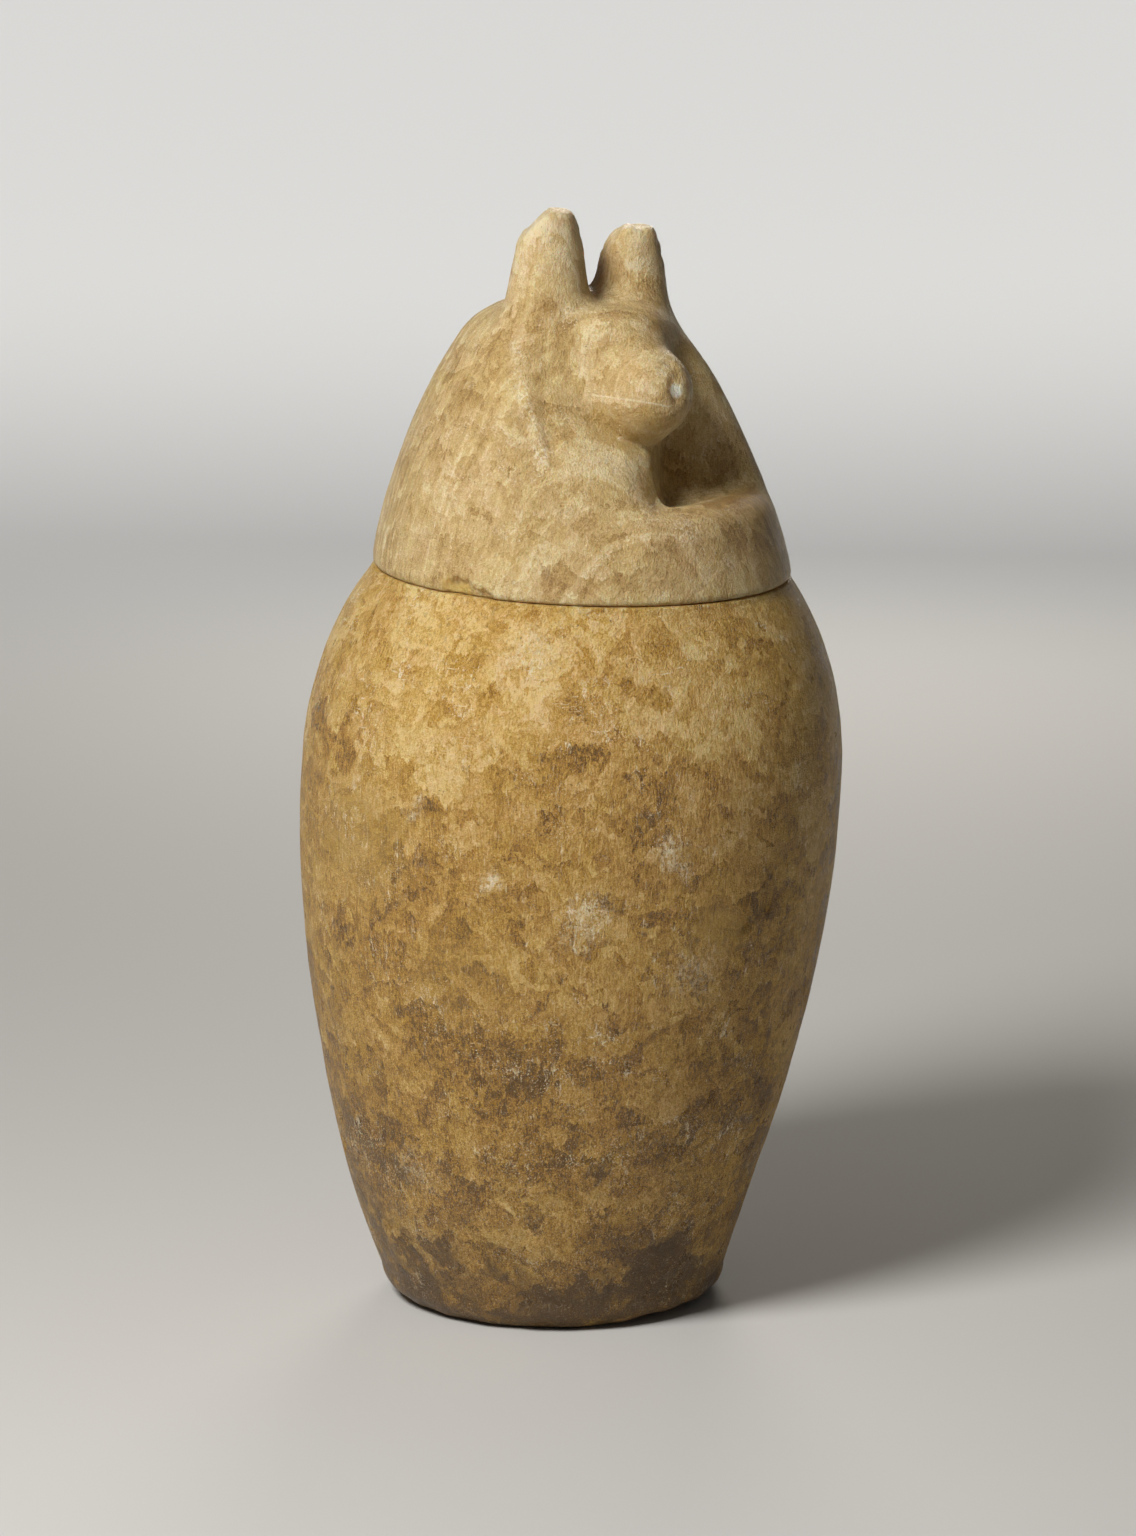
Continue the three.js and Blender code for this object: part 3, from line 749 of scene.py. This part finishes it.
lidMarks = {
    "browner": (
        ((-45.1, -32.0, 317.9), 5, 1.0), ((-34.9, -30.1, 331.0), 4, 0.7), ((-30.5, -42.6, 319.0), 4, 0.8),
        ((38.7, -37.1, 315.7), 24, 0.5), ((-41.0, -5.4, 341.1), 24, 0.55), ((-27.8, -5.7, 361.6), 14, 0.4),
        (((-24.4, -23.2, 347.2), (-28.0, -37.5, 325.9)), 3.0, 0.8), (((-24.0, -51.0, 313.7), (-48.9, -45.9, 293.3)), 1.2, 0.8),
        (((-43.8, 2.9, 336.7), (-51.8, -8.0, 320.8)), 1.4, 0.7), (((-51.8, -8.0, 320.8), (-57.5, -17.0, 304.6)), 1.4, 0.7),
        ((8.4, -70.1, 299.6), 8, 0.6), ((36.0, -62.0, 290.0), 25, 0.5),
        (((17.7, -62.0, 301.4), (35.3, -57.0, 301.1)), 9, 1.0), (((35.3, -57.0, 301.1), (52.9, -49.6, 300.6)), 10, 1.2),
    ),
    "golden": (
        (((12.6, -42.4, 320.8), (7.5, -49.1, 313.1)), 2.6, 0.7), (((7.5, -49.1, 313.1), (-0.1, -56.6, 305.9)), 2.6, 0.7),
        ((-65.0, -12.0, 283.0), 9, 0.3),
    ),
    # painted glow where light shines through the thin stone at the chip in the lid's lower edge
    "paintedGlow": (((-60.5, -28.7, 274.6), 5, 0.9), ((-63.0, -23.1, 275.4), 5, 0.8), ((-54.5, -44.0, 272.6), 4, 0.5)),
    "paler": (
        ((-14.7, -13.0, 393.0), 26, 1.5), ((26.9, -12.0, 392.0), 18, 1.1), ((-15.9, -49.1, 319.1), 18, 1.0),
        ((-9.1, -31.3, 350.3), 12, 0.5),
        ((8.7, -52.0, 353.0), 6, 1.0), ((14.7, -6.0, 373.0), 9, 0.8), ((-57.8, -16.1, 304.5), 10, 0.4),
        ((-42.4, -43.1, 300.0), 10, 0.4), ((-34.0, -20.0, 343.0), 6, 0.7),
        (((-27.6, 4.9, 358.0), (-39.3, -9.0, 341.0)), 2.2, 0.9), (((-39.3, -9.0, 341.0), (-44.5, -20.7, 327.0)), 2.2, 0.8),
    ),
    "whiter": (
        (((-27.3, -14.0, 357.1), (-30.9, -26.0, 339.1)), 3.2, 0.8), (((-30.9, -26.0, 339.1), (-34.1, -41.0, 318.0)), 4.0, 0.8),
        ((-33.0, -38.0, 322.0), 5, 0.8), ((-15.9, -49.1, 319.1), 16, 0.7),
        ((-2.0, -55.0, 322.0), 7, 0.6), ((8.7, -54.0, 350.0), 6, 0.9),
        ((30.8, -50.0, 300.0), 8, 0.7), ((4.1, -72.6, 294.0), 10, 0.8), ((-24.0, -64.2, 287.8), 6, 0.8), ((20.4, -77.9, 283.2), 5, 0.8),
        ((-6.0, -32.0, 362.0), 5, 0.7), ((-45.0, -50.0, 284.0), 9, 0.7), ((-57.8, -16.1, 304.5), 7, 0.4),
        ((-24.0, -24.0, 364.0), 6, 0.6), ((-41.0, -5.4, 343.0), 5, 0.6), ((12.0, -11.0, 378.0), 9, 0.4), ((30.0, -12.0, 398.0), 8, 0.7),
    ),
    "mouthPlane": (0.2713, 0.0738, 1.0),  # the line of the mouth lies this high across it
    "mouthUp": 335.05,
    "mouthMiddle": (-3.0, -48.0, 338.0),
    "chin": (-2.0, -46.0, 333.0),
    # where a highlight is painted on the nose
    "glint": (11.5, -58.4, 342.4),
}


def lidStone():
    stone = Stone("creamTravertine")
    bent, tall = crystalField(stone)
    stone.ragged = stone.mix(0.4, stone.place, bent)
    mid, midHeight, midTint = shade(stone, bent, 76)
    small, smallHeight, smallTint = shade(stone, bent, 200)
    clouds = stone.noise(stone.place, 17, 3, 0.55) - 0.5
    # bedding: thin layers across the stone, seen as upright bands on the side and as rings on the head
    layered = stone.vector("DOT_PRODUCT", stone.place, (-0.36, -0.92, 0.14))
    layered = layered + (stone.noise(stone.place, 16, 2, 0.5) - 0.5) * 0.02
    bedding = {"W": layered, "Scale": 330, "Detail": 4, "Roughness": 0.7}
    beds = stone.add("ShaderNodeTexNoise", {"noise_dimensions": "1D"}, bedding) - 0.5
    fibres = stone.noise(tall, 1200, 2, 0.7) - 0.5
    grain = stone.noise(stone.place, 1900, 2, 0.75) - 0.5
    value = 0.57 + mid * 0.24 + small * 0.34 - midHeight * 0.14 - smallHeight * 0.1
    value = value + clouds * 0.36 + beds * 0.85 + fibres * 0.7 + grain * 1.1
    value = value - marks(stone, lidMarks["browner"]) * 0.26 + marks(stone, lidMarks["paler"]) * 0.22
    colours = list(zip((0.06, 0.3, 0.52, 0.76, 1.04), travertine["lidTones"]))
    colour = stone.add("ShaderNodeValToRGB", {"stops": colours}, {0: value})
    tint = (midTint + smallTint + clouds * 2.0) * 0.5
    tint = stone.mix(tint.between(0.1, 0.9) * 0.7 + 0.3, travertine["pinkish"], travertine["olive"])
    colour = stone.mix(1.0, colour, tint, "MULTIPLY")
    belowMouth = stone.vector("DOT_PRODUCT", stone.ragged, lidMarks["mouthPlane"]) - lidMarks["mouthUp"] / 1000
    chin = belowMouth.between(-0.004, 0.0, 1.0, 0.0) * stone.spot(stone.ragged, lidMarks["chin"], 17, 0.35)
    colour = stone.mix(chin * 0.45, colour, travertine["golden"])
    level = stone.vector("DOT_PRODUCT", stone.place, lidMarks["mouthPlane"]) - lidMarks["mouthUp"] / 1000
    # golden patches, then the painted glow at the chip
    for key, share in (("golden", 0.6), ("paintedGlow", 0.9)):
        colour = stone.mix((marks(stone, lidMarks[key]) * share).between(0.0, 1.0), colour, travertine[key])
    patchy = stone.noise(stone.place, 60, 3, 0.7).between(0.50, 0.66)
    edges = stone.cells(bent, 76, 0, "DISTANCE_TO_EDGE").between(0.0, 0.04, 1.0, 0.0)
    # fine white specks: partly the stone's own white crystals and partly painted sparkle, small highlights on the rough
    # surface
    specks = stone.noise(stone.place, 1500, 2, 0.7).between(0.57, 0.68)
    hairs = stone.noise(stone.vector("MULTIPLY", stone.place, (1.0, 1.0, 0.07)), 1500, 2, 0.6).between(0.60, 0.70)
    whiter = marks(stone, lidMarks["whiter"], 0.8)
    crumbs = stone.noise(stone.place, 700, 3, 0.7).between(0.46, 0.56)
    white = specks * (patchy * 0.6 + 0.25) + edges * patchy * 0.5 + hairs * 0.16 + whiter * (crumbs * 0.6 + 0.1)
    mouth = level.between(-0.0008, -0.0001) * level.between(0.0, 0.0006, 1.0, 0.0)
    white = white + mouth * stone.spot(stone.place, lidMarks["mouthMiddle"], 17, 0.2) * 0.6
    # painted highlight: a pale spot on the nose stands in for the key light's glint, and the stone is less rough there
    glint = stone.spot(stone.ragged, lidMarks["glint"], 3.2, 0.5)
    colour = stone.mix(white.between(0.0, 1.0), colour, travertine["white"])
    colour = stone.mix(glint, colour, travertine["paintedGlint"])
    pits = stone.noise(stone.place, 700, 1, 0.5).between(0.73, 0.78)
    pits = pits + whiter * stone.noise(stone.place, 800, 2, 0.6).between(0.58, 0.66) * 0.5
    colour = stone.mix((pits * 0.5).between(0.0, 1.0), colour, travertine["brown"])
    rough = travertine["roughness"] + small * 0.16 + white * 0.2 - glint * 0.5
    height = fibres * 0.4 + beds * 0.4 + grain * 0.6 + stone.noise(stone.place, 330, 3, 0.65) * 0.9
    return finish(stone, colour, rough, height)


jarPiece = makeJar()
jarPiece.data.materials.append(jarStone())
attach(jarPiece, "root")
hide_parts("jar")
print("jar: made")

lidPiece = makeLid()
lidPiece.data.materials.append(lidStone())
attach(lidPiece, "root")
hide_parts("lid")
print("lid: made")


# floor, light and camera

studio = {
    "floorHalf": 14.0,
    "floorDrop": 0.0003,
    "floorColour": (0.68, 0.675, 0.66),
    "azimuth": -37.0,
    "elevation": 12.08,
    "distance": 2.4,
    "aimRight": 0.00553,
    "aimUp": 0.1968,
    "lens": 153.6,
    "keyFrom": (-0.44, 0.57, 0.69),  # right, towards the camera, up
    "keyAway": 1.4,
    "keySize": 0.5,
    "keyPower": 20.3,
    "keyColour": (1.0, 0.98, 0.95),
    "aroundUp": 0.24,  # the height that key and fill stand round
    "worldLight": 0.085,
    "worldColour": (0.85, 0.82, 0.78, 1),
    "backBehind": 4.2,  # a lamp above the floor behind, so that it is pale there too
    "backUp": 2.4,
    "backSize": 5.4,
    "backPower": 72.0,
    "backSpread": 62.0,
    "fillFrom": (0.1, -0.95, 0.3),  # lights the side turned away from the camera
    "fillPower": 3.5,
    "fillColour": (1.0, 0.94, 0.84),
}

right = Vector((math.cos(math.radians(studio["azimuth"])), math.sin(math.radians(studio["azimuth"])), 0))
back = Vector((math.sin(math.radians(studio["azimuth"])), -math.cos(math.radians(studio["azimuth"])), 0))
upward = Vector((0, 0, 1))


def makeFloor():
    half, up = studio["floorHalf"], -studio["floorDrop"]
    corners = [(-half, -half, up), (half, -half, up), (half, half, up), (-half, half, up)]
    mesh = bpy.data.meshes.new("floor")
    mesh.from_pydata(corners, [], [(0, 1, 2, 3)])
    floor = bpy.data.objects.new("floor", mesh)
    paint = bpy.data.materials.new("paleFloor")
    paint.use_nodes = True
    paint.node_tree.nodes["Principled BSDF"].inputs["Base Color"].default_value = (*studio["floorColour"], 1)
    paint.node_tree.nodes["Principled BSDF"].inputs["Roughness"].default_value = 0.7
    mesh.materials.append(paint)
    bpy.context.scene.collection.objects.link(floor)


def makeLight(name, place, size, power, colour, aim=Vector((0, 0, 0.22))):
    data = bpy.data.lights.new(name, "AREA")
    data.shape, data.size, data.energy, data.color = "DISK", size, power, colour
    light = bpy.data.objects.new(name, data)
    light.location = place
    light.rotation_euler = (aim - place).to_track_quat("-Z", "Y").to_euler()
    bpy.context.scene.collection.objects.link(light)
    return data


def makeCamera():
    camera = bpy.data.objects.new("camera", bpy.data.cameras.new("camera"))
    aim = right * studio["aimRight"] + upward * studio["aimUp"]
    lift = math.radians(studio["elevation"])
    camera.location = aim + back * studio["distance"] * math.cos(lift) + upward * studio["distance"] * math.sin(lift)
    camera.rotation_euler = (aim - camera.location).to_track_quat("-Z", "Y").to_euler()
    camera.data.lens = studio["lens"]
    camera.data.sensor_width = 36
    camera.data.clip_end = 60
    bpy.context.scene.collection.objects.link(camera)
    bpy.context.scene.camera = camera


makeFloor()
fromRight, fromCamera, fromUp = studio["keyFrom"]
keyPlace = (right * fromRight + back * fromCamera + upward * fromUp) * studio["keyAway"] + upward * studio["aroundUp"]
makeLight("softKey", keyPlace, studio["keySize"], studio["keyPower"], studio["keyColour"])
lampPlace = back * -studio["backBehind"] + upward * studio["backUp"]
lamp = makeLight("floorLamp", lampPlace, studio["backSize"], studio["backPower"], (1.0, 1.0, 1.0), lampPlace - upward * 3)
lamp.spread = math.radians(studio["backSpread"])
fromRight, fromCamera, fromUp = studio["fillFrom"]
fillPlace = (right * fromRight + back * fromCamera + upward * fromUp) * studio["keyAway"] + upward * studio["aroundUp"]
makeLight("softFill", fillPlace, studio["keySize"], studio["fillPower"], studio["fillColour"])
makeCamera()
bpy.context.scene.view_settings.view_transform = "Standard"

world = bpy.data.worlds.new("studio")
world.use_nodes = True
world.node_tree.nodes["Background"].inputs["Color"].default_value = studio["worldColour"]
world.node_tree.nodes["Background"].inputs["Strength"].default_value = studio["worldLight"]
bpy.context.scene.world = world
print("studio: made")
